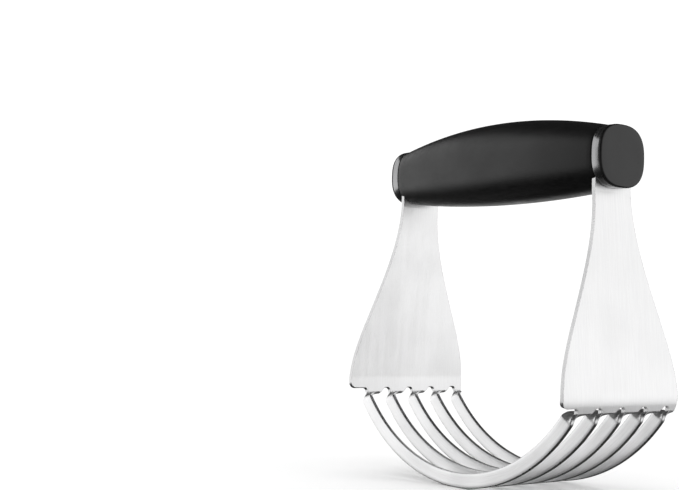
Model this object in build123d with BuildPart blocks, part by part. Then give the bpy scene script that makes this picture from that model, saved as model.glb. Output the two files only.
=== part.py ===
from build123d import *
import math
import os

# Five-bladed pastry blender, millimetres.
# +X runs along the handle, +Y to the back, +Z up.
# The origin is under the middle of the handle, at the blades' lowest point.

# ---- driving dimensions ----
sheet = 1.5                  # thickness of the steel, sides and blades alike
plate_width = 60.0           # side plate, front to back, at its foot
tang_width = 18.8            # narrow top of a side plate
tang_rise = 7.5              # tang's top above the handle's axis
tang_corner = 4.0            # radius of the tang's top corners
tang_drop = 12.5             # the tang is upright down to here, below the handle's axis
side_height = 86.8           # handle's axis above the side plates' lower edge
side_splay = 4.6             # degrees that a side leans out towards its foot
flare_share = 0.6            # how far down and out the flare's middle point lies, 0 to 1
flare_slope = 0.42           # sideways run of the flare for each unit of drop, at its middle
flare_foot = 2.5             # height of the straight, full-width foot
upper_bend = 4.0             # outer radius of the bend under the handle
foot_bend = 16.0             # outer radius of the gentle bend at the foot
lip_angle = 14.0             # degrees that the lower edge leans in, from upright
plate_corner = 2.4           # radius of the plate's lower front corner

blade_count = 5
blade_depth = 5.4            # height of a blade standing on edge
blade_angle = 53.8           # each side of its lowest point, a blade's arc turns this far
front_margin = 5.8           # plate's front edge to the first blade
rear_margin = 0.8            # rear side of the last strip's stub to the plate's rear edge
knee_radius = 5.0            # outer radius of the bend from the lip into a blade's arc
notch_top = 2.6              # width of a notch at the plates' lower edge
notch_round = 1.1            # radius of the notch's upper corners
notch_slant = 40.0           # degrees, slanting side of a notch
root_length = 1.8            # stub of each strip that belongs to the plate
root_lead = 2.1              # a strip's front edge starts this far behind its blade's front face
twist_length = 4.2           # length in which a strip turns from flat to on edge
twist_out = 1.1              # and in which its outer edge moves this far outwards
twist_steps = 6              # sections in a twist

grip_length = 102.5          # barrel, ring to ring
grip_end_width = 23.6        # barrel, ring and cap, front to back at the ends
grip_end_height = 22.2       # and top to bottom
grip_mid_width = 29.2        # barrel at its fullest
grip_mid_top = 17.2          # its top above the axis
grip_mid_bottom = 13.7       # and its underside below the axis
grip_squareness = 2.6        # 2 is an oval, larger is squarer
sleeve_wall = 2.6            # soft sleeve over the rigid core
ring_length = 3.4
ring_wall = 2.0
ring_edge = 0.35             # rounding of the ring's rims
cap_length = 0.9             # how far a cap stands out of its ring
cap_edge = 0.75              # rounding of the cap's rim
peg_radius = 1.2
peg_length = 8.0             # from the tang's outer face into the core
peg_margin = 2.4             # from a tang's front or back edge to the middle of a peg

screw_radius = 2.0
screw_length = 16.0
screw_tip = 2.0
head_radius = 4.0
head_height = 2.2
head_round = 0.9
cross_width = 0.9            # cross recess in the head
cross_span = 4.4
cross_depth = 1.3
washer_radius = 4.5
washer_thickness = 0.8

fit_gap = 0.1                # between a moulding and what it fits into
hole_gap = 0.2               # round a screw or peg that passes through sheet steel
head_gap = 0.3               # between a screw's head and the cap over it
head_room = 0.4              # and round the head

# ---- derived sizes ----
lip = math.radians(lip_angle)
splay = math.radians(side_splay)
arc = math.radians(blade_angle)
rise = math.pi / 2 - arc                             # a blade's lean from upright, where its arc begins
tang_outer = grip_length / 2                         # outer face of a tang, along X
foot_bend_height = foot_bend * (math.sin(lip) + math.sin(splay))
straight_height = side_height - tang_drop - foot_bend_height
foot_outer = tang_outer + straight_height * math.tan(splay)
edge_outer = foot_outer + foot_bend * (math.cos(lip) - math.cos(splay))
root_outer = edge_outer - root_length * math.sin(lip)            # outer face at a stub's end
arc_outer = root_outer - knee_radius * (math.cos(lip) - math.cos(rise))
guide_radius = arc_outer / math.sin(arc)                         # arc that the twist moves out from
blade_radius = guide_radius + twist_out                          # outer edge of a blade
arc_height = blade_radius - guide_radius * math.cos(arc)         # where the arc begins
root_height = arc_height + knee_radius * (math.sin(rise) - math.sin(lip))
edge_height = root_height + root_length * math.cos(lip)          # the plates' lower edge
axis_height = edge_height + side_height
foot_tangent = foot_bend * math.tan((lip + splay) / 2)
blade_pitch = plate_width / blade_count
blade_fronts = [-plate_width / 2 + front_margin + i * blade_pitch for i in range(blade_count)]
root_fronts = [front + root_lead for front in blade_fronts]      # front edges of the stubs
last_root = plate_width / 2 - rear_margin - root_fronts[-1]       # width of the last stub
ring_end = tang_outer + ring_length
cap_end = ring_end + cap_length
head_base = tang_outer + washer_thickness
spigot_end = head_base + fit_gap                     # where the part of a cap inside its ring ends
pocket_end = head_base + head_height + head_gap
peg_offset = tang_width / 2 - peg_margin


def squircle(width, top, bottom):
    """A closed, rounded-square outline about the origin of the sketch it is drawn in."""
    points = []
    count = 24
    for i in range(count):
        turn = 2 * math.pi * (i + 0.5) / count
        across = math.cos(turn)
        up = math.sin(turn)
        height = top if up > 0 else bottom
        y = width / 2 * math.copysign(abs(across) ** (2 / grip_squareness), across)
        z = height * math.copysign(abs(up) ** (2 / grip_squareness), up)
        points.append((y, z))
    return Spline(*points, periodic=True)


def across_handle(x):
    """Plane across the handle at x, seen from +X: its x is +Y and its y is +Z."""
    return Plane(origin=(x, 0, axis_height), x_dir=(0, 1, 0), z_dir=(1, 0, 0))


def end_outline(inset):
    """Outline shared by the barrel's ends, the rings and the caps, drawn smaller by inset."""
    half_height = grip_end_height / 2 - inset
    return squircle(grip_end_width - 2 * inset, half_height, half_height)


def barrel(inset):
    """The barrel's swelling body, drawn smaller by inset, in the part that is being built."""
    stations = 7
    sections = []
    for i in range(stations):
        share = 2 * i / (stations - 1) - 1
        swell = 1 - share ** 2
        width = grip_end_width + (grip_mid_width - grip_end_width) * swell
        top = grip_end_height / 2 + (grip_mid_top - grip_end_height / 2) * swell
        bottom = grip_end_height / 2 + (grip_mid_bottom - grip_end_height / 2) * swell
        with BuildSketch(across_handle(share * tang_outer)) as section:
            with BuildLine():
                squircle(width - 2 * inset, top - inset, bottom - inset)
            make_face()
        sections.append(section.sketch)
    return loft(sections)


def tang_recess(gap):
    """Cuts the tangs' seats into both ends of the part that is being built."""
    for end in (-1, 1):
        with BuildSketch(across_handle(end * tang_outer)) as seat:
            with Locations((0, tang_rise + gap)):
                Rectangle(
                    tang_width + 2 * gap,
                    tang_rise + gap + grip_end_height,
                    align=(Align.CENTER, Align.MAX),
                )
            fillet(seat.vertices().group_by(Axis.Y)[-1], tang_corner + gap)
        extrude(seat.sketch, amount=-end * sheet, mode=Mode.SUBTRACT)


def turned(along):
    """Share of a strip's turn, 0 to 1, that it has made this far below the stub."""
    return (1 - math.cos(math.pi * along / twist_length)) / 2


def strip_width(along, last):
    """Width of a strip this far below the stub; the last one starts narrow, at the plate's edge."""
    if last:
        return last_root + (blade_depth - last_root) * turned(along)
    slanted = blade_pitch - notch_top - (root_length + along) / math.tan(math.radians(notch_slant))
    return max(slanted + root_lead * turned(along), blade_depth)


# ---- side plates ----
# The section is drawn along the outer face from tang to foot and thickened inwards.
foot_plane = Plane(
    origin=(edge_outer, 0, edge_height),
    x_dir=(0, 1, 0),
    z_dir=(math.cos(lip), 0, -math.sin(lip)),
)

with BuildPart() as right_side_plate:
    with BuildSketch(Plane.XZ):
        with BuildLine():
            outer_face = FilletPolyline(
                (tang_outer, axis_height + tang_rise),
                (tang_outer, axis_height - tang_drop),
                (edge_outer + foot_tangent * math.sin(lip), edge_height + foot_tangent * math.cos(lip)),
                (root_outer, root_height),
                radius=[upper_bend, foot_bend],
            )
            offset(outer_face, amount=sheet, side=Side.RIGHT)
        make_face()
    extrude(amount=plate_width / 2, both=True)

    # Seen from the end, a side is narrow at the tang and flares in one smooth curve to its foot.
    waist = axis_height - tang_drop
    foot = edge_height + flare_foot
    with BuildSketch(Plane.YZ) as outline:
        with BuildLine():
            flare = Spline(
                (tang_width / 2, waist),
                (
                    tang_width / 2 + (plate_width - tang_width) / 2 * flare_share,
                    waist + (foot - waist) * flare_share,
                ),
                (plate_width / 2, foot),
                tangents=[(0, -1), (flare_slope, -1), (0, -1)],
            )
            Polyline(
                flare @ 1,
                (plate_width / 2, 0),
                (0, 0),
                (0, axis_height + tang_rise),
                (tang_width / 2, axis_height + tang_rise),
                flare @ 0,
            )
        make_face()
        mirror(about=Plane.YZ)
        fillet(outline.vertices().group_by(Axis.Y)[-1].sort_by(Axis.X)[0], tang_corner)
        fillet(outline.vertices().group_by(Axis.Y)[-1].sort_by(Axis.X)[-1], tang_corner)
    extrude(amount=2 * cap_end, mode=Mode.INTERSECT)

    # Notches between the strips, and the rounded corner in front of the first one.
    with BuildSketch(foot_plane):
        with BuildSketch(mode=Mode.PRIVATE) as first_notch:
            with Locations((root_fronts[0], 0)):
                Rectangle(plate_width, 2 * root_length, align=(Align.MAX, Align.MAX))
            fillet(first_notch.vertices().group_by(Axis.Y)[-1].sort_by(Axis.X)[-1], notch_round)
        add(first_notch.sketch)
        for i in range(1, blade_count):
            depth = 2 * root_length
            with BuildSketch(mode=Mode.PRIVATE) as notch:
                with BuildLine():
                    Polyline(
                        (root_fronts[i], -depth),
                        (root_fronts[i], 0),
                        (root_fronts[i] - notch_top, 0),
                        (root_fronts[i] - notch_top - depth / math.tan(math.radians(notch_slant)), -depth),
                        close=True,
                    )
                make_face()
                fillet(notch.vertices().group_by(Axis.Y)[-1], notch_round)
            add(notch.sketch)
        with BuildSketch(mode=Mode.PRIVATE) as rear_corner:
            with BuildLine():
                rounding = TangentArc(
                    (plate_width / 2, plate_corner),
                    (plate_width / 2 - rear_margin, -root_length),
                    tangent=(0, -1),
                )
                Polyline(
                    rounding @ 1,
                    (plate_width / 2 - rear_margin, -2 * root_length),
                    (plate_width / 2 + sheet, -2 * root_length),
                    (plate_width / 2 + sheet, plate_corner),
                    rounding @ 0,
                )
            make_face()
        add(rear_corner.sketch)
        with BuildSketch(mode=Mode.PRIVATE) as corner:
            with Locations((-plate_width / 2, 0)):
                Rectangle(plate_corner, plate_corner, align=(Align.MIN, Align.MIN))
            with Locations((-plate_width / 2 + plate_corner, plate_corner)):
                Circle(plate_corner, mode=Mode.SUBTRACT)
        add(corner.sketch)
    extrude(amount=4 * sheet, both=True, mode=Mode.SUBTRACT)

    with Locations(across_handle(tang_outer)):
        Hole(screw_radius + hole_gap, depth=2 * sheet)
        with Locations((peg_offset, 0), (-peg_offset, 0)):
            Hole(peg_radius + hole_gap, depth=2 * sheet)


# ---- blades ----
knee_turn = rise - lip
knee_length = knee_radius * knee_turn


def edge_point(along):
    """Place of a strip's outer edge in X and Z, and its lean from upright, this far below the stub."""
    if along < knee_length:
        lean = lip + along / knee_radius
        x = root_outer - knee_radius * (math.cos(lip) - math.cos(lean))
        z = root_height - knee_radius * (math.sin(lean) - math.sin(lip))
    else:
        lean = rise + (along - knee_length) / guide_radius
        x = guide_radius * math.cos(lean)
        z = blade_radius - guide_radius * math.sin(lean)
    push = twist_out * turned(along)
    return x + push * math.cos(lean), z - push * math.sin(lean), lean


def blade(front):
    """One blade: half an arc on edge and the twist up to the right-hand side, mirrored to the left."""
    arc_turn = 90 - math.degrees(edge_point(twist_length)[2])
    with BuildPart() as strip:
        with BuildSketch(Plane.XZ.offset(-front)):
            with BuildLine():
                outer = CenterArc((0, blade_radius), blade_radius, -90, arc_turn)
                inner = CenterArc((0, blade_radius), blade_radius - blade_depth, -90, arc_turn)
                Line(outer @ 0, inner @ 0)
                Line(outer @ 1, inner @ 1)
            make_face()
        extrude(amount=-sheet)
        for i in range(twist_steps + 1):
            share = i / twist_steps
            along = share * twist_length
            x, z, lean = edge_point(along)
            twist = math.pi / 2 * turned(along)
            inward = Vector(-math.cos(lean), 0, math.sin(lean))
            section = Plane(
                origin=(x, front + root_lead * (1 - turned(along)) + sheet * (1 - math.cos(twist)), z),
                x_dir=Vector(0, math.cos(twist), 0) + inward * math.sin(twist),
                z_dir=(-math.sin(lean), 0, -math.cos(lean)),
            )
            width = strip_width(along, front == blade_fronts[-1])
            with BuildSketch(section):
                Rectangle(width, sheet, align=(Align.MIN, Align.MAX))
        loft()
        mirror(about=Plane.YZ)
    return strip


blades = [blade(front) for front in blade_fronts]

# ---- handle ----
with BuildPart() as handle_core:
    barrel(sleeve_wall)
    tang_recess(fit_gap)
    for end in (-1, 1):
        seat = Plane(origin=(end * (tang_outer - sheet), 0, axis_height), x_dir=(0, 1, 0), z_dir=(end, 0, 0))
        with Locations(seat):
            Hole(screw_radius + fit_gap / 2, depth=screw_length)
            with Locations((peg_offset, 0), (-peg_offset, 0)):
                Hole(peg_radius + fit_gap, depth=peg_length)

with BuildPart() as grip_sleeve:
    barrel(0)
    with BuildPart(mode=Mode.PRIVATE) as inside:
        barrel(sleeve_wall)
    add(inside.part, mode=Mode.SUBTRACT)
    tang_recess(fit_gap)

# ---- rings, caps, screws and washers, right-hand ones first ----
with BuildPart() as right_end_ring:
    with BuildSketch(across_handle(tang_outer)):
        with BuildLine():
            end_outline(0)
        make_face()
        with BuildLine():
            end_outline(ring_wall)
        make_face(mode=Mode.SUBTRACT)
    extrude(amount=ring_length)
    rims = right_end_ring.edges().group_by(Axis.X)
    fillet(rims[0].sort_by(SortBy.LENGTH)[-1], ring_edge)
    fillet(right_end_ring.edges().group_by(Axis.X)[-1].sort_by(SortBy.LENGTH)[-1], ring_edge)

with BuildPart() as right_end_cap:
    with BuildSketch(across_handle(ring_end)):
        with BuildLine():
            end_outline(0)
        make_face()
    extrude(amount=cap_length)
    fillet(right_end_cap.edges().group_by(Axis.X)[-1], cap_edge)
    with BuildSketch(across_handle(ring_end)):
        with BuildLine():
            end_outline(ring_wall + fit_gap)
        make_face()
    extrude(amount=spigot_end - ring_end)
    with BuildSketch(across_handle(spigot_end)):
        with Locations((peg_offset, 0), (-peg_offset, 0)):
            Circle(peg_radius)
    extrude(amount=-(spigot_end - tang_outer + peg_length))
    chamfer(right_end_cap.edges().group_by(Axis.X)[0], peg_radius / 3)
    with BuildSketch(across_handle(spigot_end)):
        Circle(head_radius + head_room)
    extrude(amount=pocket_end - spigot_end, mode=Mode.SUBTRACT)

with BuildPart() as right_washer:
    with BuildSketch(across_handle(tang_outer)):
        Circle(washer_radius)
        Circle(screw_radius + fit_gap, mode=Mode.SUBTRACT)
    extrude(amount=washer_thickness)

with BuildPart() as right_tang_screw:
    with BuildSketch(across_handle(head_base)):
        Circle(head_radius)
    extrude(amount=head_height)
    fillet(right_tang_screw.edges().group_by(Axis.X)[-1], head_round)
    with BuildSketch(across_handle(head_base + head_height)):
        Rectangle(cross_span, cross_width)
        Rectangle(cross_width, cross_span)
    extrude(amount=-cross_depth, mode=Mode.SUBTRACT)
    with BuildSketch(across_handle(head_base)):
        Circle(screw_radius)
    extrude(amount=-screw_length)
    chamfer(right_tang_screw.edges().group_by(Axis.X)[0], screw_tip, screw_radius * 0.7)

paired = {
    "side_plate": right_side_plate,
    "end_ring": right_end_ring,
    "end_cap": right_end_cap,
    "washer": right_washer,
    "tang_screw": right_tang_screw,
}

# ---- files, one for each piece ----
os.makedirs("parts", exist_ok=True)
pieces = {"handle_core": handle_core, "grip_sleeve": grip_sleeve}
for i, strip in enumerate(blades):
    pieces[f"blade_{i + 1}"] = strip
for name, right in paired.items():
    with BuildPart() as left:
        mirror(right.part, about=Plane.YZ)
    pieces[f"right_{name}"] = right
    pieces[f"left_{name}"] = left
for name, piece in pieces.items():
    piece.part.label = name
    export_step(piece.part, f"parts/{name}.step")
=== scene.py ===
import math

import bmesh
import bpy
from mathutils import Matrix, Vector


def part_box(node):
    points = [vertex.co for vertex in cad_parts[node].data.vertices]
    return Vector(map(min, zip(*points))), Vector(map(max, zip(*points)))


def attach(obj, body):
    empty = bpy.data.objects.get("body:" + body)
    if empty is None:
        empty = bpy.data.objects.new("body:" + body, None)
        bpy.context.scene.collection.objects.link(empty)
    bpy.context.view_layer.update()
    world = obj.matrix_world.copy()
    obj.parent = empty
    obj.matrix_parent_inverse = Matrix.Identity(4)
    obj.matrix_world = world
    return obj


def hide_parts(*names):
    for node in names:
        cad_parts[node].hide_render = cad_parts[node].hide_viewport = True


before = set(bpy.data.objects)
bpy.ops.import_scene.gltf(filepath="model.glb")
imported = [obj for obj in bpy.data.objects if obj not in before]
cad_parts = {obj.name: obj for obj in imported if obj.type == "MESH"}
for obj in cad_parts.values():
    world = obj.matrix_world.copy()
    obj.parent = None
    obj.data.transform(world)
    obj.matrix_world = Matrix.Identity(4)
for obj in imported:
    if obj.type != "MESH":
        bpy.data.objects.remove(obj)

# Pastry blender: two flared steel sides, five bowed blades, a soft black grip with steel collars.
# Everything is in metres. +X runs along the grip, +Y to the back, +Z up.
mm = 0.001
sharpAngle = math.radians(40)       # corners over this stay crisp in the shading
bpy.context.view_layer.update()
scene = bpy.context.scene
print("frame:", len(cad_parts), "nodes")

sheetSteel = {
    "thickness": 1.5 * mm,
    "rounding": 0.32 * mm,      # tumbled edges
    "roundSteps": 3,
}

plateLow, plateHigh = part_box("right_side_plate")
ringLow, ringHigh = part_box("right_end_ring")
axisHeight = (ringLow.z + ringHigh.z) / 2
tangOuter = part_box("grip_sleeve")[1].x      # outer face of a side where the grip sits on it
ringEnd = ringHigh.x
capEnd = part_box("right_end_cap")[1].x


def arcPoints(centre, radius, start, end, steps):
    # points on an arc from start to end, in degrees, both ends included
    points = []
    for i in range(steps + 1):
        turn = math.radians(start + (end - start) * i / steps)
        points.append((centre[0] + radius * math.cos(turn), centre[1] + radius * math.sin(turn)))
    return points


def endName(side):
    # side is 1 at the right-hand end and -1 at the left
    return "right" if side > 0 else "left"


def alongGrip(x, y):
    # stands a cylinder's axis along the grip, level with the grip's own axis
    return Matrix.Translation((x, y, axisHeight)) @ Matrix.Rotation(math.pi / 2, 4, "Y")


def addObject(name, bm, node, materials):
    mesh = bpy.data.meshes.new(name)
    bm.to_mesh(mesh)
    bm.free()
    piece = bpy.data.objects.new(name, mesh)
    scene.collection.objects.link(piece)
    for material in materials:
        mesh.materials.append(material)
    mesh.shade_smooth()
    mesh.set_sharp_from_angle(angle=sharpAngle)
    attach(piece, "root")
    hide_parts(node)
    return piece


def settle(piece):
    # makes the piece's modifiers part of its mesh
    evaluated = piece.evaluated_get(bpy.context.evaluated_depsgraph_get())
    mesh = bpy.data.meshes.new_from_object(evaluated)
    piece.modifiers.clear()
    piece.data = mesh


def cutAway(piece, cutterMesh):
    cutter = bpy.data.objects.new("cutter", cutterMesh)
    scene.collection.objects.link(cutter)
    cut = piece.modifiers.new("cut", "BOOLEAN")
    cut.operation = "DIFFERENCE"
    cut.solver = "EXACT"
    cut.object = cutter
    bpy.context.view_layer.update()
    settle(piece)
    bpy.data.objects.remove(cutter)


# Shader groups that several finishes share.
def addNode(tree, kind, **settings):
    node = tree.nodes.new(kind)
    for name, value in settings.items():
        setattr(node, name, value)
    return node


def newGroup(name, inputs, outputs):
    tree = bpy.data.node_groups.new(name, "ShaderNodeTree")
    for label, kind, value in inputs:
        socket = tree.interface.new_socket(label, in_out="INPUT", socket_type=kind)
        if value is not None:
            socket.default_value = value
    for label, kind in outputs:
        tree.interface.new_socket(label, in_out="OUTPUT", socket_type=kind)
    return tree, addNode(tree, "NodeGroupInput"), addNode(tree, "NodeGroupOutput")


def mapRange(tree, source, fromMin, fromMax, toMin, toMax):
    node = addNode(tree, "ShaderNodeMapRange", clamp=True)
    node.inputs["From Min"].default_value = fromMin
    node.inputs["From Max"].default_value = fromMax
    node.inputs["To Min"].default_value = toMin
    node.inputs["To Max"].default_value = toMax
    tree.links.new(source, node.inputs["Value"])
    return node.outputs["Result"]


def blend(tree, mode, first, second):
    node = addNode(tree, "ShaderNodeMath", operation=mode)
    for socket, source in zip(node.inputs, (first, second)):
        if isinstance(source, (int, float)):
            socket.default_value = source
        else:
            tree.links.new(source, socket)
    return node.outputs[0]


def mixColours(tree, factor, first, second):
    node = addNode(tree, "ShaderNodeMix", data_type="RGBA")
    tree.links.new(factor, node.inputs["Factor"])
    for label, source in (("A", first), ("B", second)):
        socket = next(s for s in node.inputs if s.name == label and s.type == "RGBA")
        if isinstance(source, tuple):
            socket.default_value = (*source, 1)
        else:
            tree.links.new(source, socket)
    return next(s for s in node.outputs if s.type == "RGBA")


def makeBrushGrain():
    # fine scratches that run one way, with longer, wider streaks among them
    tree, given, result = newGroup(
        "brush grain",
        [("Vector", "NodeSocketVector", None),
         ("Across", "NodeSocketFloat", 2000), ("Along", "NodeSocketFloat", 60)],
        [("Lines", "NodeSocketFloat"), ("Streaks", "NodeSocketFloat")],
    )
    kinds = {"Lines": (1, 4, 0.32, 0.68), "Streaks": (0.17, 2, 0.36, 0.64)}
    for label, (share, detail, low, high) in kinds.items():
        stretch = addNode(tree, "ShaderNodeCombineXYZ")
        tree.links.new(blend(tree, "MULTIPLY", given.outputs["Across"], share), stretch.inputs["X"])
        tree.links.new(blend(tree, "MULTIPLY", given.outputs["Along"], share), stretch.inputs["Y"])
        scale = addNode(tree, "ShaderNodeVectorMath", operation="MULTIPLY")
        tree.links.new(given.outputs["Vector"], scale.inputs[0])
        tree.links.new(stretch.outputs[0], scale.inputs[1])
        noise = addNode(tree, "ShaderNodeTexNoise", noise_dimensions="2D")
        noise.inputs["Scale"].default_value = 1
        noise.inputs["Detail"].default_value = detail
        tree.links.new(scale.outputs[0], noise.inputs["Vector"])
        tree.links.new(mapRange(tree, noise.outputs["Fac"], low, high, 0, 1), result.inputs[label])
    return tree


def makeEdgeWearAndPaintedLight():
    # a mask of the corners, broken up so that no edge is marked evenly; on plastic, zinc and cut edges it
    # is wear, on the side and blade steel it carries a painted dark shade line, and on the collars a
    # painted highlight with some polish
    tree, given, result = newGroup(
        "edge wear and painted edge light",
        [("Radius", "NodeSocketFloat", 0.4 * mm), ("Breakup", "NodeSocketFloat", 900)],
        [("Mask", "NodeSocketFloat")],
    )
    bevel = addNode(tree, "ShaderNodeBevel", samples=4)
    tree.links.new(given.outputs["Radius"], bevel.inputs["Radius"])
    geometry = addNode(tree, "ShaderNodeNewGeometry")
    dot = addNode(tree, "ShaderNodeVectorMath", operation="DOT_PRODUCT")
    tree.links.new(bevel.outputs["Normal"], dot.inputs[0])
    tree.links.new(geometry.outputs["Normal"], dot.inputs[1])
    place = addNode(tree, "ShaderNodeTexCoord")
    noise = addNode(tree, "ShaderNodeTexNoise")
    noise.inputs["Detail"].default_value = 3
    tree.links.new(place.outputs["Object"], noise.inputs["Vector"])
    tree.links.new(given.outputs["Breakup"], noise.inputs["Scale"])
    cornerMask = mapRange(tree, dot.outputs["Value"], 0.995, 0.86, 0, 1)
    broken = mapRange(tree, noise.outputs["Fac"], 0.35, 0.65, 0.35, 1)
    tree.links.new(blend(tree, "MULTIPLY", cornerMask, broken), result.inputs["Mask"])
    return tree


def makeHaze():
    # slow patches left by polishing, wiping and handling
    tree, given, result = newGroup(
        "handling haze",
        [("Size", "NodeSocketFloat", 60)],
        [("Patches", "NodeSocketFloat"), ("Specks", "NodeSocketFloat")],
    )
    place = addNode(tree, "ShaderNodeTexCoord")
    for label, share, low, high in (("Patches", 1, 0.35, 0.65), ("Specks", 40, 0.55, 0.75)):
        noise = addNode(tree, "ShaderNodeTexNoise")
        noise.inputs["Detail"].default_value = 3
        tree.links.new(place.outputs["Object"], noise.inputs["Vector"])
        tree.links.new(blend(tree, "MULTIPLY", given.outputs["Size"], share), noise.inputs["Scale"])
        tree.links.new(mapRange(tree, noise.outputs["Fac"], low, high, 0, 1), result.inputs[label])
    return tree


def makeMouldSkin():
    # the fine pebbled skin that a spark-eroded mould leaves
    tree, given, result = newGroup(
        "mould skin",
        [("Scale", "NodeSocketFloat", 2500)],
        [("Height", "NodeSocketFloat"), ("Pits", "NodeSocketFloat")],
    )
    place = addNode(tree, "ShaderNodeTexCoord")
    cells = addNode(tree, "ShaderNodeTexVoronoi", feature="SMOOTH_F1")
    noise = addNode(tree, "ShaderNodeTexNoise")
    noise.inputs["Detail"].default_value = 4
    for node in (cells, noise):
        tree.links.new(place.outputs["Object"], node.inputs["Vector"])
    tree.links.new(given.outputs["Scale"], cells.inputs["Scale"])
    tree.links.new(blend(tree, "MULTIPLY", given.outputs["Scale"], 0.4), noise.inputs["Scale"])
    pebbles = blend(tree, "MULTIPLY", cells.outputs["Distance"], 0.6)
    height = blend(tree, "ADD", pebbles, noise.outputs["Fac"])
    tree.links.new(height, result.inputs["Height"])
    tree.links.new(mapRange(tree, noise.outputs["Fac"], 0.35, 0.65, 0, 1), result.inputs["Pits"])
    return tree


brushGrain = makeBrushGrain()
edgeWearAndPaintedLight = makeEdgeWearAndPaintedLight()
handlingHaze = makeHaze()
mouldSkin = makeMouldSkin()


def addGroup(tree, group, **values):
    node = addNode(tree, "ShaderNodeGroup", node_tree=group)
    for name, value in values.items():
        node.inputs[name].default_value = value
    return node


def newFinish(name):
    material = bpy.data.materials.new(name)
    material.use_nodes = True
    tree = material.node_tree
    return material, tree, tree.nodes["Principled BSDF"]


def addBump(tree, shader, height, distance, strength):
    bump = addNode(tree, "ShaderNodeBump")
    bump.inputs["Distance"].default_value = distance
    bump.inputs["Strength"].default_value = strength
    tree.links.new(height, bump.inputs["Height"])
    tree.links.new(bump.outputs["Normal"], shader.inputs["Normal"])


def brushedSteel(name, finish):
    # finish: dark and light of the grain, colour of the corners, roughness low and high,
    # and scratches per metre across and along
    material, tree, shader = newFinish(name)
    shader.inputs["Metallic"].default_value = 1
    grainMap = addNode(tree, "ShaderNodeUVMap", uv_map="grain")
    grain = addGroup(tree, brushGrain, Across=finish["across"], Along=finish["along"])
    tree.links.new(grainMap.outputs["UV"], grain.inputs["Vector"])
    edgeMask = addGroup(tree, edgeWearAndPaintedLight, Radius=finish["edgeMaskRadius"])
    haze = addGroup(tree, handlingHaze, Size=finish["hazeSize"])
    lines = blend(tree, "ADD", blend(tree, "MULTIPLY", grain.outputs["Lines"], 0.6),
                  blend(tree, "MULTIPLY", grain.outputs["Streaks"], 0.4))
    colour = mixColours(tree, lines, finish["dark"], finish["light"])
    # corner colour: wear on some finishes, a painted shade line on the side and blade steel, a painted
    # highlight on the collars' rims
    colour = mixColours(tree, edgeMask.outputs["Mask"], colour, finish["corner"])
    tree.links.new(colour, shader.inputs["Base Color"])
    rough = mapRange(tree, lines, 0, 1, finish["smooth"], finish["rough"])
    rough = blend(tree, "ADD", rough, blend(tree, "MULTIPLY", haze.outputs["Patches"], 0.05))
    rough = blend(tree, "SUBTRACT", rough, blend(tree, "MULTIPLY", edgeMask.outputs["Mask"], 0.08))
    tree.links.new(rough, shader.inputs["Roughness"])
    addBump(tree, shader, lines, finish["scratchDepth"], finish["scratchStrength"])
    return material


def shearedSteel(name, finish):
    # the die-cut edge, with short tear marks across the sheet
    material, tree, shader = newFinish(name)
    shader.inputs["Metallic"].default_value = 1
    place = addNode(tree, "ShaderNodeTexCoord")
    noise = addNode(tree, "ShaderNodeTexNoise")
    noise.inputs["Scale"].default_value = finish["tearScale"]
    noise.inputs["Detail"].default_value = 4
    tree.links.new(place.outputs["Object"], noise.inputs["Vector"])
    edgeMask = addGroup(tree, edgeWearAndPaintedLight, Radius=finish["edgeMaskRadius"])
    haze = addGroup(tree, handlingHaze, Size=finish["hazeSize"])
    tears = mapRange(tree, noise.outputs["Fac"], 0.35, 0.65, 0, 1)
    colour = mixColours(tree, tears, finish["dark"], finish["light"])
    colour = mixColours(tree, edgeMask.outputs["Mask"], colour, finish["corner"])
    tree.links.new(colour, shader.inputs["Base Color"])
    rough = mapRange(tree, tears, 0, 1, finish["smooth"], finish["rough"])
    rough = blend(tree, "ADD", rough, blend(tree, "MULTIPLY", haze.outputs["Patches"], 0.06))
    tree.links.new(rough, shader.inputs["Roughness"])
    addBump(tree, shader, tears, finish["tearDepth"], finish["tearStrength"])
    return material


def mouldedPlastic(name, finish):
    material, tree, shader = newFinish(name)
    shader.inputs["Specular IOR Level"].default_value = finish["specular"]
    skin = addGroup(tree, mouldSkin, Scale=finish["skinScale"])
    edgeMask = addGroup(tree, edgeWearAndPaintedLight, Radius=finish["edgeMaskRadius"])
    haze = addGroup(tree, handlingHaze, Size=finish["hazeSize"])
    colour = mixColours(tree, skin.outputs["Pits"], finish["dark"], finish["light"])
    cornerMask = blend(tree, "MULTIPLY", edgeMask.outputs["Mask"], finish["wearAmount"])
    colour = mixColours(tree, cornerMask, colour, finish["corner"])
    tree.links.new(colour, shader.inputs["Base Color"])
    rough = mapRange(tree, haze.outputs["Patches"], 0, 1, finish["smooth"], finish["rough"])
    rough = blend(tree, "ADD", rough, blend(tree, "MULTIPLY", skin.outputs["Pits"], finish["skinRough"]))
    polish = blend(tree, "MULTIPLY", edgeMask.outputs["Mask"], finish["rimPolish"])
    rough = blend(tree, "SUBTRACT", rough, polish)
    tree.links.new(rough, shader.inputs["Roughness"])
    addBump(tree, shader, skin.outputs["Height"], finish["skinDepth"], finish["skinStrength"])
    return material


# the dark corner colour paints a shade line along every edge of the side plates
plateSteel = brushedSteel("brushed side steel", {
    "dark": (0.8, 0.8, 0.805), "light": (0.9, 0.9, 0.9), "corner": (0.1, 0.1, 0.1),
    "smooth": 0.36, "rough": 0.46, "across": 2400, "along": 90, "hazeSize": 45,
    "edgeMaskRadius": 0.4 * mm, "scratchDepth": 0.012 * mm, "scratchStrength": 0.16,
})
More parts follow.
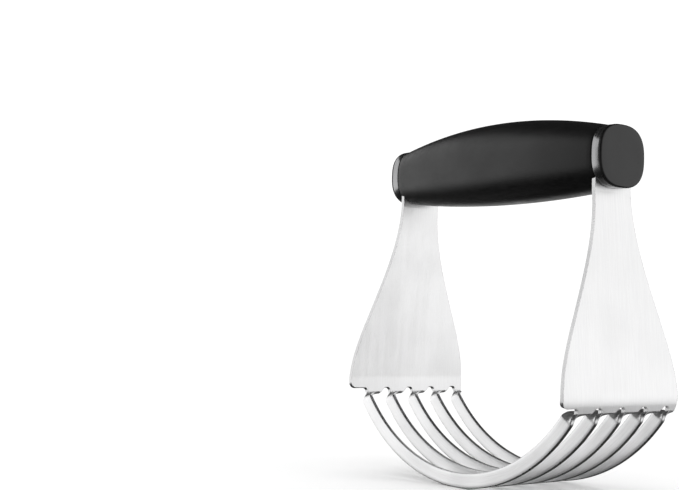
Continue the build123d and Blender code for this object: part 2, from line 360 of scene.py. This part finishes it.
# the dark corner colour paints a shade line along the blades' edges
bladeSteel = brushedSteel("satin blade steel", {
    "dark": (0.78, 0.78, 0.785), "light": (0.92, 0.92, 0.92), "corner": (0.12, 0.12, 0.12),
    "smooth": 0.3, "rough": 0.42, "across": 2600, "along": 130, "hazeSize": 70,
    "edgeMaskRadius": 0.35 * mm, "scratchDepth": 0.02 * mm, "scratchStrength": 0.22,
})
# the light corner colour on the rims is partly rubbed polish, partly a painted edge highlight
collarSteel = brushedSteel("turned collar steel", {
    "dark": (0.25, 0.25, 0.254), "light": (0.36, 0.36, 0.364), "corner": (0.6, 0.6, 0.6),
    "smooth": 0.14, "rough": 0.24, "across": 4200, "along": 120, "hazeSize": 120,
    "edgeMaskRadius": 0.3 * mm, "scratchDepth": 0.015 * mm, "scratchStrength": 0.2,
})
cutEdge = shearedSteel("sheared edge steel", {
    "dark": (0.56, 0.56, 0.565), "light": (0.72, 0.72, 0.72), "corner": (0.8, 0.8, 0.8),
    "smooth": 0.24, "rough": 0.38, "tearScale": 1600, "hazeSize": 90,
    "edgeMaskRadius": 0.3 * mm, "tearDepth": 0.03 * mm, "tearStrength": 0.35,
})
softTouch = mouldedPlastic("soft touch black", {
    "dark": (0.001, 0.001, 0.0011), "light": (0.003, 0.003, 0.0031), "corner": (0.006, 0.006, 0.006),
    "wearAmount": 0.4, "specular": 0.56, "smooth": 0.34, "rough": 0.42, "skinRough": 0.06,
    "rimPolish": 0.08,
    "skinScale": 1500, "skinDepth": 0.03 * mm, "skinStrength": 0.22,
    "hazeSize": 55, "edgeMaskRadius": 0.5 * mm,
})
capBlack = mouldedPlastic("cap black", {
    "dark": (0.003, 0.003, 0.0031), "light": (0.005, 0.005, 0.0052), "corner": (0.006, 0.006, 0.006),
    "wearAmount": 0.3, "specular": 0.42, "smooth": 0.34, "rough": 0.4, "skinRough": 0.03,
    "rimPolish": 0.2,
    "skinScale": 2400, "skinDepth": 0.015 * mm, "skinStrength": 0.12,
    "hazeSize": 80, "edgeMaskRadius": 0.6 * mm,
})
coreNylon = mouldedPlastic("core nylon", {
    "dark": (0.03, 0.03, 0.031), "light": (0.05, 0.05, 0.051), "corner": (0.09, 0.09, 0.09),
    "wearAmount": 0.5, "specular": 0.45, "smooth": 0.5, "rough": 0.6, "skinRough": 0.05,
    "rimPolish": 0.1,
    "skinScale": 1800, "skinDepth": 0.03 * mm, "skinStrength": 0.3,
    "hazeSize": 60, "edgeMaskRadius": 0.5 * mm,
})


def zincPlate(name, finish):
    # bright plating with slow stains and fine specks
    material, tree, shader = newFinish(name)
    shader.inputs["Metallic"].default_value = 1
    haze = addGroup(tree, handlingHaze, Size=finish["hazeSize"])
    edgeMask = addGroup(tree, edgeWearAndPaintedLight, Radius=finish["edgeMaskRadius"])
    colour = mixColours(tree, haze.outputs["Patches"], finish["dark"], finish["light"])
    colour = mixColours(tree, edgeMask.outputs["Mask"], colour, finish["corner"])
    tree.links.new(colour, shader.inputs["Base Color"])
    rough = mapRange(tree, haze.outputs["Specks"], 0, 1, finish["smooth"], finish["rough"])
    tree.links.new(rough, shader.inputs["Roughness"])
    addBump(tree, shader, haze.outputs["Specks"], finish["speckDepth"], finish["speckStrength"])
    return material


fastenerZinc = zincPlate("bright zinc", {
    "dark": (0.5, 0.52, 0.55), "light": (0.66, 0.66, 0.64), "corner": (0.8, 0.8, 0.78),
    "smooth": 0.24, "rough": 0.42, "hazeSize": 220,
    "edgeMaskRadius": 0.3 * mm, "speckDepth": 0.02 * mm, "speckStrength": 0.2,
})
print("finishes made")

# Side plates: a flat blank is cut to its outline, then folded and given its thickness.
plate = {
    "tangWidth": 18.8 * mm,
    "tangCorner": 4 * mm,
    "tangDrop": 12.5 * mm,          # upright down to here, below the grip's axis
    "splay": math.radians(4.6),
    "lip": math.radians(14),        # lean of the lower edge
    "upperBend": 4 * mm,
    "footBend": 16 * mm,
    "flareShare": 0.6,
    "flareSlope": 0.42,
    "flareFoot": 2.5 * mm,
    "corner": 2.4 * mm,
    "notchTop": 2.6 * mm,
    "notchRound": 1.1 * mm,
    "notchSlant": 40,               # degrees
    "stub": 1.8 * mm,
    "screwHole": 2.2 * mm,
    "pegHole": 1.4 * mm,
    "pegOffset": 7 * mm,
    "crossCut": 6 * mm,             # spacing of the mesh's cuts across the blank
    "rowCut": 4 * mm,               # and up it, where it is straight
    "footRows": 14,                 # cuts round the foot's bend, which keep it smooth
    "upperRows": 3,
    "tangRows": 5,
    "grainGap": 200 * mm,           # moves the inner face to another part of the grain
}
bladeSet = {
    "count": 5,
    "depth": 5.4 * mm,
    "frontMargin": 5.8 * mm,        # plate's front edge to the first blade
    "rearMargin": 0.8 * mm,         # last stub to the plate's rear edge
    "knee": 5 * mm,                 # bend from the lip into the arc
    "arc": math.radians(53.8),
    "lead": 2.1 * mm,               # a strip starts this far behind its blade
    "twistOut": 1.1 * mm,           # and its edge moves this far outwards as it turns
    "twistLength": 4.2 * mm,
    "twistSteps": 20,
    "arcSteps": 60,                 # from a twist to the lowest point
    "grainShift": 30 * mm,          # each blade has its own part of the grain
}

thickness = sheetSteel["thickness"]
lip = plate["lip"]
splay = plate["splay"]
plateWidth = plateHigh.y - plateLow.y
tangTop = plateHigh.z
waistHeight = axisHeight - plate["tangDrop"]
rootHeight = plateLow.z
edgeHeight = rootHeight + plate["stub"] * math.cos(lip)
footArc = plate["footBend"] * (lip + splay)
footTop = edgeHeight + plate["footBend"] * (math.sin(lip) + math.sin(splay))
footOuter = tangOuter + (waistHeight - footTop) * math.tan(splay)
edgeOuter = footOuter + plate["footBend"] * (math.cos(lip) - math.cos(splay))
rootOuter = edgeOuter - plate["stub"] * math.sin(lip)
upperTangent = plate["upperBend"] * math.tan(splay / 2)
upperStart = footArc + (waistHeight - footTop) / math.cos(splay) - upperTangent
upperEnd = upperStart + plate["upperBend"] * splay
pitch = plateWidth / bladeSet["count"]
bladeFronts = [i * pitch + bladeSet["frontMargin"] - plateWidth / 2 for i in range(bladeSet["count"])]
rootFronts = [front + bladeSet["lead"] for front in bladeFronts]
lastEnd = plateWidth / 2 - bladeSet["rearMargin"]


def foldLine(rise):
    # outer face at this distance up the sheet from its lower edge: x, z and lean from upright
    if rise <= 0:
        return edgeOuter + rise * math.sin(lip), edgeHeight + rise * math.cos(lip), lip
    bend = plate["footBend"]
    if rise <= footArc:
        lean = lip - rise / bend
        return (edgeOuter + bend * (math.cos(lean) - math.cos(lip)),
                edgeHeight + bend * (math.sin(lip) - math.sin(lean)), lean)
    straight = min(rise, upperStart) - footArc
    x = footOuter - straight * math.sin(splay)
    z = footTop + straight * math.cos(splay)
    if rise <= upperStart:
        return x, z, -splay
    bend = plate["upperBend"]
    lean = min(rise - upperStart, upperEnd - upperStart) / bend - splay
    x -= bend * (math.cos(lean) - math.cos(splay))
    z += bend * (math.sin(lean) + math.sin(splay))
    return x, z + max(rise - upperEnd, 0), lean


def riseAt(z):
    # how far up the sheet a height above the floor is
    if z < footTop:
        lean = math.asin(math.sin(lip) - (z - edgeHeight) / plate["footBend"])
        return (lip - lean) * plate["footBend"]
    if z < waistHeight:
        return min(footArc + (z - footTop) / math.cos(splay), upperStart)
    return upperEnd + z - foldLine(upperEnd)[1]


def hermite(start, end, startSlope, endSlope, steps):
    # one smooth stretch between two points, leaving and arriving along the slopes
    span = (Vector(end) - Vector(start)).length
    points = []
    for i in range(steps + 1):
        t = i / steps
        point = (
            Vector(start) * (2 * t ** 3 - 3 * t ** 2 + 1)
            + Vector(startSlope).normalized() * span * (t ** 3 - 2 * t ** 2 + t)
            + Vector(end) * (3 * t ** 2 - 2 * t ** 3)
            + Vector(endSlope).normalized() * span * (t ** 3 - t ** 2)
        )
        points.append(tuple(point))
    return points


def blankOutline():
    # the blank, counter-clockwise: y across and rise up the sheet
    half = plateWidth / 2
    stub = plate["stub"]
    notchRound = plate["notchRound"]
    slant = plate["notchSlant"]
    corner = plate["corner"]
    line = arcPoints((-half + corner, corner), corner, 180, 270, 8)
    for i, front in enumerate(rootFronts):
        if i:
            reach = stub / math.tan(math.radians(slant))
            top = front - plate["notchTop"]
            line.append((top - reach, -stub))
            tangent = notchRound * math.tan(math.radians(slant / 2))
            line += arcPoints((top + tangent, -notchRound), notchRound, 90 + slant, 90, 5)
        line += arcPoints((front - notchRound, -notchRound), notchRound, 90, 0, 7)
        line.append((front, -stub))
    inset = half - lastEnd
    radius = ((corner + stub) ** 2 + inset ** 2) / (2 * inset)
    start = -math.degrees(math.asin((corner + stub) / radius))
    line += arcPoints((half - radius, corner), radius, start, 0, 8)
    foot = edgeHeight + plate["flareFoot"]
    tang = plate["tangWidth"] / 2
    share = plate["flareShare"]
    middle = (tang + (half - tang) * share, waistHeight + (foot - waistHeight) * share)
    slope = (-plate["flareSlope"], 1)
    flare = hermite((half, foot), middle, (0, 1), slope, 22)
    flare += hermite(middle, (tang, waistHeight), slope, (0, 1), 26)[1:]
    side = [(y, riseAt(z)) for y, z in flare]
    top = riseAt(tangTop)
    tangRound = plate["tangCorner"]
    side += arcPoints((tang - tangRound, top - tangRound), tangRound, 0, 90, 10)
    line += side
    line += [(-y, rise) for y, rise in reversed(side)]
    return line


def cutBlank():
    blank = bmesh.new()
    blank.faces.new([blank.verts.new((y, rise, 0)) for y, rise in blankOutline()])
    count = plate["footRows"]
    rows = [footArc * i / count for i in range(count + 1)]
    count = round((upperStart - footArc) / plate["rowCut"])
    rows += [footArc + (upperStart - footArc) * i / count for i in range(1, count)]
    count = plate["upperRows"]
    rows += [upperStart + (upperEnd - upperStart) * i / count for i in range(count + 1)]
    count = plate["tangRows"]
    top = riseAt(tangTop)
    rows += [upperEnd + (top - upperEnd) * i / count for i in range(1, count)]
    beside = round(plateWidth / 2 / plate["crossCut"]) - 1      # cuts on each side of the middle
    columns = [plate["crossCut"] * i for i in range(-beside, beside + 1)]
    cuts = [((0, row, 0), (0, 1, 0)) for row in rows]
    cuts += [((y, 0, 0), (1, 0, 0)) for y in columns]
    for place, along in cuts:
        geometry = blank.verts[:] + blank.edges[:] + blank.faces[:]
        bmesh.ops.bisect_plane(blank, geom=geometry, dist=1e-7, plane_co=place, plane_no=along)
    bmesh.ops.remove_doubles(blank, verts=blank.verts[:], dist=2e-6)
    return blank


def foldPlate(side):
    blank = cutBlank()
    folded = bmesh.new()
    grain = folded.loops.layers.uv.new("grain")
    outer, inner, flat = {}, {}, {}
    for vert in blank.verts:
        y, rise, _ = vert.co
        x, z, lean = foldLine(rise)
        outer[vert] = folded.verts.new((side * x, y, z))
        innerX = x - thickness * math.cos(lean)
        innerZ = z + thickness * math.sin(lean)
        inner[vert] = folded.verts.new((side * innerX, y, innerZ))
        flat[outer[vert]] = (y, rise)
        flat[inner[vert]] = (y + plate["grainGap"], rise)

    def addFace(verts, index):
        face = folded.faces.new(verts if side > 0 else verts[::-1])
        face.material_index = index
        for loop in face.loops:
            loop[grain].uv = flat[loop.vert]
        return face

    walls = {}
    for face in blank.faces:
        loops = list(face.loops)
        addFace([outer[loop.vert] for loop in loops], 0)
        addFace([inner[loop.vert] for loop in reversed(loops)], 0)
        for loop in loops:
            if loop.edge.is_boundary:
                a, b = loop.vert, loop.link_loop_next.vert
                wall = addFace([outer[b], outer[a], inner[a], inner[b]], 1)
                walls[wall] = max(a.co.y, b.co.y) < -plate["stub"] + 1e-6
    # every rim is tumbled round, but not where a stub meets its blade
    rims = []
    for edge in folded.edges:
        around = [face in walls for face in edge.link_faces]
        if sum(around) == 1 and not any(walls.get(face) for face in edge.link_faces):
            rims.append(edge)
    bmesh.ops.bevel(folded, geom=rims, offset=sheetSteel["rounding"], offset_type="OFFSET", segments=2,
                    profile=0.5, affect="EDGES", clamp_overlap=True, material=-1)
    blank.free()
    name = endName(side)
    piece = addObject("side_" + name, folded, name + "_side_plate", [plateSteel, cutEdge])
    holes = bmesh.new()
    peg = plate["pegOffset"]
    for y, radius in ((0, plate["screwHole"]), (-peg, plate["pegHole"]), (peg, plate["pegHole"])):
        turn = alongGrip(side * tangOuter, y)
        bmesh.ops.create_cone(holes, cap_ends=True, segments=32, radius1=radius, radius2=radius,
                              depth=4 * thickness, matrix=turn)
    cutter = bpy.data.meshes.new("holes")
    holes.to_mesh(cutter)
    holes.free()
    cutAway(piece, cutter)
    flatten = piece.modifiers.new("even shading", "WEIGHTED_NORMAL")
    flatten.keep_sharp = True
    return piece


for side in (1, -1):
    foldPlate(side)
print("side plates folded")

# Blades: a strip with tumbled corners follows the knee, twists a quarter turn and bows to the middle.
riseOfArc = math.pi / 2 - bladeSet["arc"]
arcOuter = rootOuter - bladeSet["knee"] * (math.cos(lip) - math.cos(riseOfArc))
guideRadius = arcOuter / math.sin(bladeSet["arc"])
bladeRadius = guideRadius + bladeSet["twistOut"]
kneeLength = bladeSet["knee"] * (riseOfArc - lip)


def turned(along):
    # share of its turn that a strip has made this far below its stub
    return (1 - math.cos(math.pi * min(along / bladeSet["twistLength"], 1))) / 2


def bladeEdge(along):
    # outer edge of a strip this far below its stub: x, z and lean from upright
    if along < kneeLength:
        lean = lip + along / bladeSet["knee"]
        x = rootOuter - bladeSet["knee"] * (math.cos(lip) - math.cos(lean))
        z = rootHeight - bladeSet["knee"] * (math.sin(lean) - math.sin(lip))
    else:
        lean = riseOfArc + (along - kneeLength) / guideRadius
        x = guideRadius * math.cos(lean)
        z = bladeRadius - guideRadius * math.sin(lean)
    push = bladeSet["twistOut"] * turned(along)
    return x + push * math.cos(lean), z - push * math.sin(lean), lean


def stripWidth(along, last):
    if last:
        root = lastEnd - rootFronts[-1]
        return root + (bladeSet["depth"] - root) * turned(along)
    slantRun = (plate["stub"] + along) / math.tan(math.radians(plate["notchSlant"]))
    slanted = pitch - plate["notchTop"] - slantRun
    return max(slanted + bladeSet["lead"] * turned(along), bladeSet["depth"])


def stripSection(width):
    # rounded rectangle from its outer front corner: across the strip, and into the sheet
    r = sheetSteel["rounding"]
    steps = sheetSteel["roundSteps"]
    line = []
    for centre, start in (((width - r, -r), 90), ((width - r, r - thickness), 0),
                          ((r, r - thickness), -90), ((r, -r), -180)):
        line += arcPoints(centre, r, start, start - 90, steps)
    wide = [(width * share, 0) for share in (0.25, 0.5, 0.75)]
    backWide = [(width * share, -thickness) for share in (0.75, 0.5, 0.25)]
    corner = steps + 1
    return wide + line[:2 * corner] + backWide + line[2 * corner:]


def sweepBlade(index, front):
    bm = bmesh.new()
    grain = bm.loops.layers.uv.new("grain")
    last = index == bladeSet["count"] - 1
    steps = bladeSet["twistSteps"]
    start = bladeSet["twistLength"]
    stations = [start * i / steps for i in range(steps)]
    steps = bladeSet["arcSteps"]
    end = kneeLength + guideRadius * (math.pi / 2 - riseOfArc)
    stations += [start + (end - start) * i / steps for i in range(steps + 1)]
    rings = []
    for along in stations:
        x, z, lean = bladeEdge(along)
        turn = turned(along)
        twist = math.pi / 2 * turn
        inward = Vector((-math.cos(lean), 0, math.sin(lean)))
        across = Vector((0, math.cos(twist), 0)) + inward * math.sin(twist)
        ahead = Vector((-math.sin(lean), 0, -math.cos(lean)))
        out = ahead.cross(across)
        y = front + bladeSet["lead"] * (1 - turn) + thickness * (1 - math.cos(twist))
        corner = Vector((x, y, z))
        section = stripSection(stripWidth(along, last))
        rings.append((along, [(corner + across * a + out * b, a) for a, b in section]))
    lowest = rings[-1][0]
    for along, ring in reversed(rings[:-1]):
        rings.append((2 * lowest - along, [(Vector((-p.x, p.y, p.z)), a) for p, a in ring]))
    verts = [[bm.verts.new(p) for p, a in ring] for along, ring in rings]
    count = len(verts[0])
    corner = sheetSteel["roundSteps"] + 1
    # the strip's two wide faces have the satin grain, and its narrow ones are sheared
    wideFaces = {0, 1, 2, count - 1} | set(range(2 + 2 * corner, 6 + 2 * corner))
    for i in range(len(rings) - 1):
        for j in range(count):
            k = (j + 1) % count
            face = bm.faces.new((verts[i][j], verts[i][k], verts[i + 1][k], verts[i + 1][j]))
            face.material_index = 0 if j in wideFaces else 1
            values = ((i, j), (i, k), (i + 1, k), (i + 1, j))
            for loop, (m, n) in zip(face.loops, values):
                loop[grain].uv = (rings[m][1][n][1] + bladeSet["grainShift"] * index, rings[m][0])
    bm.faces.new(verts[0][::-1]).material_index = 1
    bm.faces.new(verts[-1]).material_index = 1
    bmesh.ops.recalc_face_normals(bm, faces=bm.faces[:])
    name = f"blade_{index + 1}"
    return addObject("bowed_" + name, bm, name, [bladeSteel, cutEdge])


for index, front in enumerate(bladeFronts):
    sweepBlade(index, front)
print("blades swept")

# Grip: sleeve, collars and caps are lofted through rounded squares.
grip = {
    "endWidth": 23.6 * mm,
    "endHeight": 22.2 * mm,
    "midWidth": 29.2 * mm,
    "midTop": 17.2 * mm,
    "midBottom": 13.7 * mm,
    "squareness": 2.6,
    "around": 120,                  # points around an outline
    "wall": 2.6 * mm,
    "rim": 0.45 * mm,
    "lengthSteps": 48,              # outlines along the outside
    "boreSteps": 24,                # and along the bore
}
collar = {
    "wall": 2 * mm,
    "edge": 0.35 * mm,
}
cap = {
    "rim": 0.75 * mm,
    "fit": 0.1 * mm,
    "washer": 0.8 * mm,
    "pocket": 4.4 * mm,             # radius of the room round the screw's head
    "roof": 1 * mm,                 # what is left of the cap over that room
    "roofMiddle": 0.6 * mm,
    "faceMiddle": 1.2 * mm,         # the face's outlines shrink to this half height
    "faceShares": (0.3, 0.6, 0.85, 1),
    "peg": 1.2 * mm,
    "pegLength": 8 * mm,            # from the tang's outer face
}


def gripOutline(x, inset):
    swell = 1 - min(abs(x) / tangOuter, 1) ** 2
    width = grip["endWidth"] / 2 + (grip["midWidth"] - grip["endWidth"]) / 2 * swell - inset
    end = grip["endHeight"] / 2
    top = end + (grip["midTop"] - end) * swell - inset
    bottom = end + (grip["midBottom"] - end) * swell - inset
    points = []
    for i in range(grip["around"]):
        turn = 2 * math.pi * (i + 0.5) / grip["around"]
        across = math.cos(turn)
        up = math.sin(turn)
        power = 2 / grip["squareness"]
        y = width * math.copysign(abs(across) ** power, across)
        z = (top if up > 0 else bottom) * math.copysign(abs(up) ** power, up)
        points.append(Vector((x, y, axisHeight + z)))
    return points


def circleOutline(x, radius):
    turns = [2 * math.pi * (i + 0.5) / grip["around"] for i in range(grip["around"])]
    return [Vector((x, radius * math.cos(t), axisHeight + radius * math.sin(t))) for t in turns]


def loftRings(rings, closed):
    # skins a row of outlines; closed joins the last to the first, otherwise both ends are filled
    bm = bmesh.new()
    grain = bm.loops.layers.uv.new("grain")
    verts = [[bm.verts.new(p) for p in ring] for ring in rings]
    count = len(rings[0])
    lengths = [0]
    for ring, following in zip(rings, rings[1:] + rings[:1]):
        lengths.append(lengths[-1] + (following[0] - ring[0]).length)
    around = [0]
    for i in range(count):
        around.append(around[-1] + (rings[0][(i + 1) % count] - rings[0][i]).length)
    for i in range(len(rings) if closed else len(rings) - 1):
        m = (i + 1) % len(rings)
        for j in range(count):
            n = (j + 1) % count
            face = bm.faces.new((verts[i][j], verts[i][n], verts[m][n], verts[m][j]))
            for loop, place in zip(face.loops, ((i, j), (i, j + 1), (i + 1, j + 1), (i + 1, j))):
                loop[grain].uv = (lengths[place[0]], around[place[1]])
    if not closed:
        bm.faces.new(verts[0][::-1])
        bm.faces.new(verts[-1])
    bmesh.ops.recalc_face_normals(bm, faces=bm.faces[:])
    return bm


def roundedRim(x, direction, radius, steps):
    # (x, inset) from the side onto the end face, the end facing along direction
    return [(x - direction * radius * (1 - math.sin(a)), radius * (1 - math.cos(a)))
            for a in [math.pi / 2 * i / steps for i in range(steps + 1)]]


def recessCutter(side):
    # the tang's seat in an end of the sleeve, open at the bottom
    half = plate["tangWidth"] / 2 + cap["fit"]
    top = tangTop - axisHeight + cap["fit"]
    corner = plate["tangCorner"] + cap["fit"]
    line = [(-half, -2 * half), (half, -2 * half)]
    line += arcPoints((half - corner, top - corner), corner, 0, 90, 8)
    line += arcPoints((corner - half, top - corner), corner, 90, 180, 8)
    bm = bmesh.new()
    verts = []
    for x in (tangOuter - thickness, tangOuter + thickness):
        verts.append([bm.verts.new((side * x, y, axisHeight + z)) for y, z in line])
    for j in range(len(line)):
        n = (j + 1) % len(line)
        bm.faces.new((verts[0][j], verts[0][n], verts[1][n], verts[1][j]))
    bm.faces.new(verts[0][::-1])
    bm.faces.new(verts[1])
    bmesh.ops.recalc_face_normals(bm, faces=bm.faces[:])
    mesh = bpy.data.meshes.new("recess")
    bm.to_mesh(mesh)
    bm.free()
    return mesh


def buildSleeve():
    rim = grip["rim"]
    steps = grip["lengthSteps"]
    profile = roundedRim(-tangOuter, -1, rim, 5)[::-1]
    profile += [(-tangOuter + rim + 2 * (tangOuter - rim) * i / steps, 0) for i in range(1, steps)]
    profile += roundedRim(tangOuter, 1, rim, 5)
    steps = grip["boreSteps"]
    profile += [(tangOuter * (1 - 2 * i / steps), grip["wall"]) for i in range(steps + 1)]
    bm = loftRings([gripOutline(x, inset) for x, inset in profile], True)
    sleeve = addObject("soft_sleeve", bm, "grip_sleeve", [softTouch])
    for side in (1, -1):
        cutAway(sleeve, recessCutter(side))
    sleeve.data.set_sharp_from_angle(angle=sharpAngle)
    return sleeve


def buildCollar(side):
    edge = collar["edge"]
    profile = roundedRim(tangOuter, -1, edge, 4)[::-1] + roundedRim(ringEnd, 1, edge, 4)
    profile += [(ringEnd, collar["wall"]), (tangOuter, collar["wall"])]
    bm = loftRings([gripOutline(side * x, inset) for x, inset in profile], True)
    name = endName(side)
    return addObject("collar_" + name, bm, name + "_end_ring", [collarSteel])


def buildCap(side):
    # from the pocket's roof down its wall, round the spigot and over the rim to the face
    fit = collar["wall"] + cap["fit"]
    spigotEnd = tangOuter + cap["washer"] + cap["fit"]
    pocket = cap["pocket"]
    rings = [circleOutline(capEnd - cap["roof"], radius) for radius in (cap["roofMiddle"], pocket)]
    rings.append(circleOutline(spigotEnd, pocket))
    rings += [gripOutline(x, inset) for x, inset in ((spigotEnd, fit), (ringEnd, fit), (ringEnd, 0))]
    rings += [gripOutline(x, inset) for x, inset in roundedRim(capEnd, 1, cap["rim"], 7)]
    shrink = grip["endHeight"] / 2 - cap["faceMiddle"] - cap["rim"]
    rings += [gripOutline(capEnd, cap["rim"] + shrink * share) for share in cap["faceShares"]]
    rings = [[Vector((side * p.x, p.y, p.z)) for p in ring] for ring in rings]
    bm = loftRings(rings, False)
    radius = cap["peg"]
    length = spigotEnd - tangOuter + cap["pegLength"]
    for y in (-plate["pegOffset"], plate["pegOffset"]):
        turn = alongGrip(side * (spigotEnd - length / 2), y)
        bmesh.ops.create_cone(bm, cap_ends=True, segments=24, radius1=radius, radius2=radius,
                              depth=length, matrix=turn)
    name = endName(side)
    return addObject("cap_" + name, bm, name + "_end_cap", [capBlack])


buildSleeve()
for side in (1, -1):
    buildCollar(side)
    buildCap(side)
print("grip lofted")

# Pieces inside the grip keep their own shape and get their finish here.
insides = {
    "handle_core": coreNylon,
    "left_tang_screw": fastenerZinc,
    "right_tang_screw": fastenerZinc,
    "left_washer": fastenerZinc,
    "right_washer": fastenerZinc,
}
for name, material in insides.items():
    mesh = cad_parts[name].data
    mesh.materials.clear()
    mesh.materials.append(material)

# Camera, floor and light.
shot = {
    "place": Vector((327.88, -332.27, 60.2)) * mm,
    "azimuth": math.radians(52.47),
    "elevation": math.radians(-3.48),
    "roll": math.radians(1.6),
    "lens": 64.36,                  # millimetres
    "sensor": 36,
    "near": 0.01,
    "far": 200,
}
studio = {
    "room": 1.12,
    # levels met in reflections, from straight down to straight up
    "reflected": [
        (0, 0.02), (0.2, 0.03), (0.33, 0.14), (0.42, 0.24), (0.52, 0.08), (0.62, 0.02), (1, 0.015),
    ],
    "floorRadius": 60,
    "floorTone": 0.97,
    # each faces a spot above the origin, from a direction and a distance
    "softboxes": {
        "left softbox": {
            "direction": (-0.85, -0.38, 0.2), "distance": 0.9, "spot": 70 * mm,
            "width": 1.3, "height": 1.0, "radiance": 1.2,
        },
        "right softbox": {
            "direction": (0.8, 0.6, 0.2), "distance": 0.9, "spot": 70 * mm,
            "width": 1.6, "height": 1.1, "radiance": 1.14,
        },
        "low fill": {
            "direction": (-0.79, 0.61, 0.05), "distance": 0.45, "spot": 16 * mm,
            "width": 0.5, "height": 0.1, "radiance": 1.2,
        },
    },
}


def placeCamera():
    az, el, roll = shot["azimuth"], shot["elevation"], shot["roll"]
    back = Vector((math.sin(az) * math.cos(el), -math.cos(az) * math.cos(el), math.sin(el)))
    right = (-back).cross(Vector((0, 0, 1))).normalized()
    up = right.cross(-back)
    turnedRight = right * math.cos(roll) + up * math.sin(roll)
    turnedUp = up * math.cos(roll) - right * math.sin(roll)
    data = bpy.data.cameras.new("camera")
    data.lens = shot["lens"]
    data.sensor_width = shot["sensor"]
    data.clip_start = shot["near"]
    data.clip_end = shot["far"]
    camera = bpy.data.objects.new("camera", data)
    scene.collection.objects.link(camera)
    turn = Matrix((turnedRight, turnedUp, back)).transposed().to_4x4()
    camera.matrix_world = Matrix.Translation(shot["place"]) @ turn
    scene.camera = camera


def layFloor():
    bm = bmesh.new()
    bmesh.ops.create_circle(bm, cap_ends=True, segments=96, radius=studio["floorRadius"])
    mesh = bpy.data.meshes.new("floor")
    bm.to_mesh(mesh)
    bm.free()
    floor = bpy.data.objects.new("floor", mesh)
    scene.collection.objects.link(floor)
    material, tree, shader = newFinish("pale floor")
    shader.inputs["Base Color"].default_value = (*[studio["floorTone"]] * 3, 1)
    shader.inputs["Roughness"].default_value = 1
    shader.inputs["Specular IOR Level"].default_value = 0
    mesh.materials.append(material)
    floor.visible_glossy = False


def hangSoftbox(name, box):
    data = bpy.data.lights.new(name, "AREA")
    data.shape = "RECTANGLE"
    data.size = box["width"]
    data.size_y = box["height"]
    data.energy = box["radiance"] * math.pi * box["width"] * box["height"]
    light = bpy.data.objects.new(name, data)
    scene.collection.objects.link(light)
    direction = Vector(box["direction"]).normalized()
    place = Vector((0, 0, box["spot"])) + direction * box["distance"]
    light.matrix_world = Matrix.Translation(place) @ direction.to_track_quat("Z", "Y").to_matrix().to_4x4()
    light.visible_camera = False
    light.visible_diffuse = False       # shapes reflections only, so the floor stays even


def lightWorld():
    # a pale room, but in reflections it is near black, with a grey band just under the horizon,
    # which draws the dark lines on steel
    world = bpy.data.worlds.new("studio")
    world.use_nodes = True
    scene.world = world
    tree = world.node_tree
    tree.nodes.clear()
    output = addNode(tree, "ShaderNodeOutputWorld")
    path = addNode(tree, "ShaderNodeLightPath")
    pale = addNode(tree, "ShaderNodeBackground")
    pale.inputs["Color"].default_value = (*[studio["room"]] * 3, 1)
    reflected = addNode(tree, "ShaderNodeBackground")
    place = addNode(tree, "ShaderNodeTexCoord")
    split = addNode(tree, "ShaderNodeSeparateXYZ")
    tree.links.new(place.outputs["Generated"], split.inputs[0])
    height = mapRange(tree, split.outputs["Z"], -1, 1, 0, 1)
    ramp = addNode(tree, "ShaderNodeValToRGB")
    ramp.color_ramp.interpolation = "EASE"
    stops = ramp.color_ramp.elements
    levels = studio["reflected"]
    stops[0].position = levels[0][0]
    stops[1].position = levels[-1][0]
    for position, _ in levels[1:-1]:
        stops.new(position)
    for stop, (_, level) in zip(stops, levels):
        stop.color = (level, level, level, 1)
    tree.links.new(height, ramp.inputs["Fac"])
    tree.links.new(ramp.outputs["Color"], reflected.inputs["Color"])
    mix = addNode(tree, "ShaderNodeMixShader")
    tree.links.new(path.outputs["Is Glossy Ray"], mix.inputs["Fac"])
    tree.links.new(pale.outputs[0], mix.inputs[1])
    tree.links.new(reflected.outputs[0], mix.inputs[2])
    tree.links.new(mix.outputs[0], output.inputs["Surface"])


placeCamera()
layFloor()
for name, box in studio["softboxes"].items():
    hangSoftbox(name, box)
lightWorld()
scene.view_settings.view_transform = "Standard"
print("studio set")
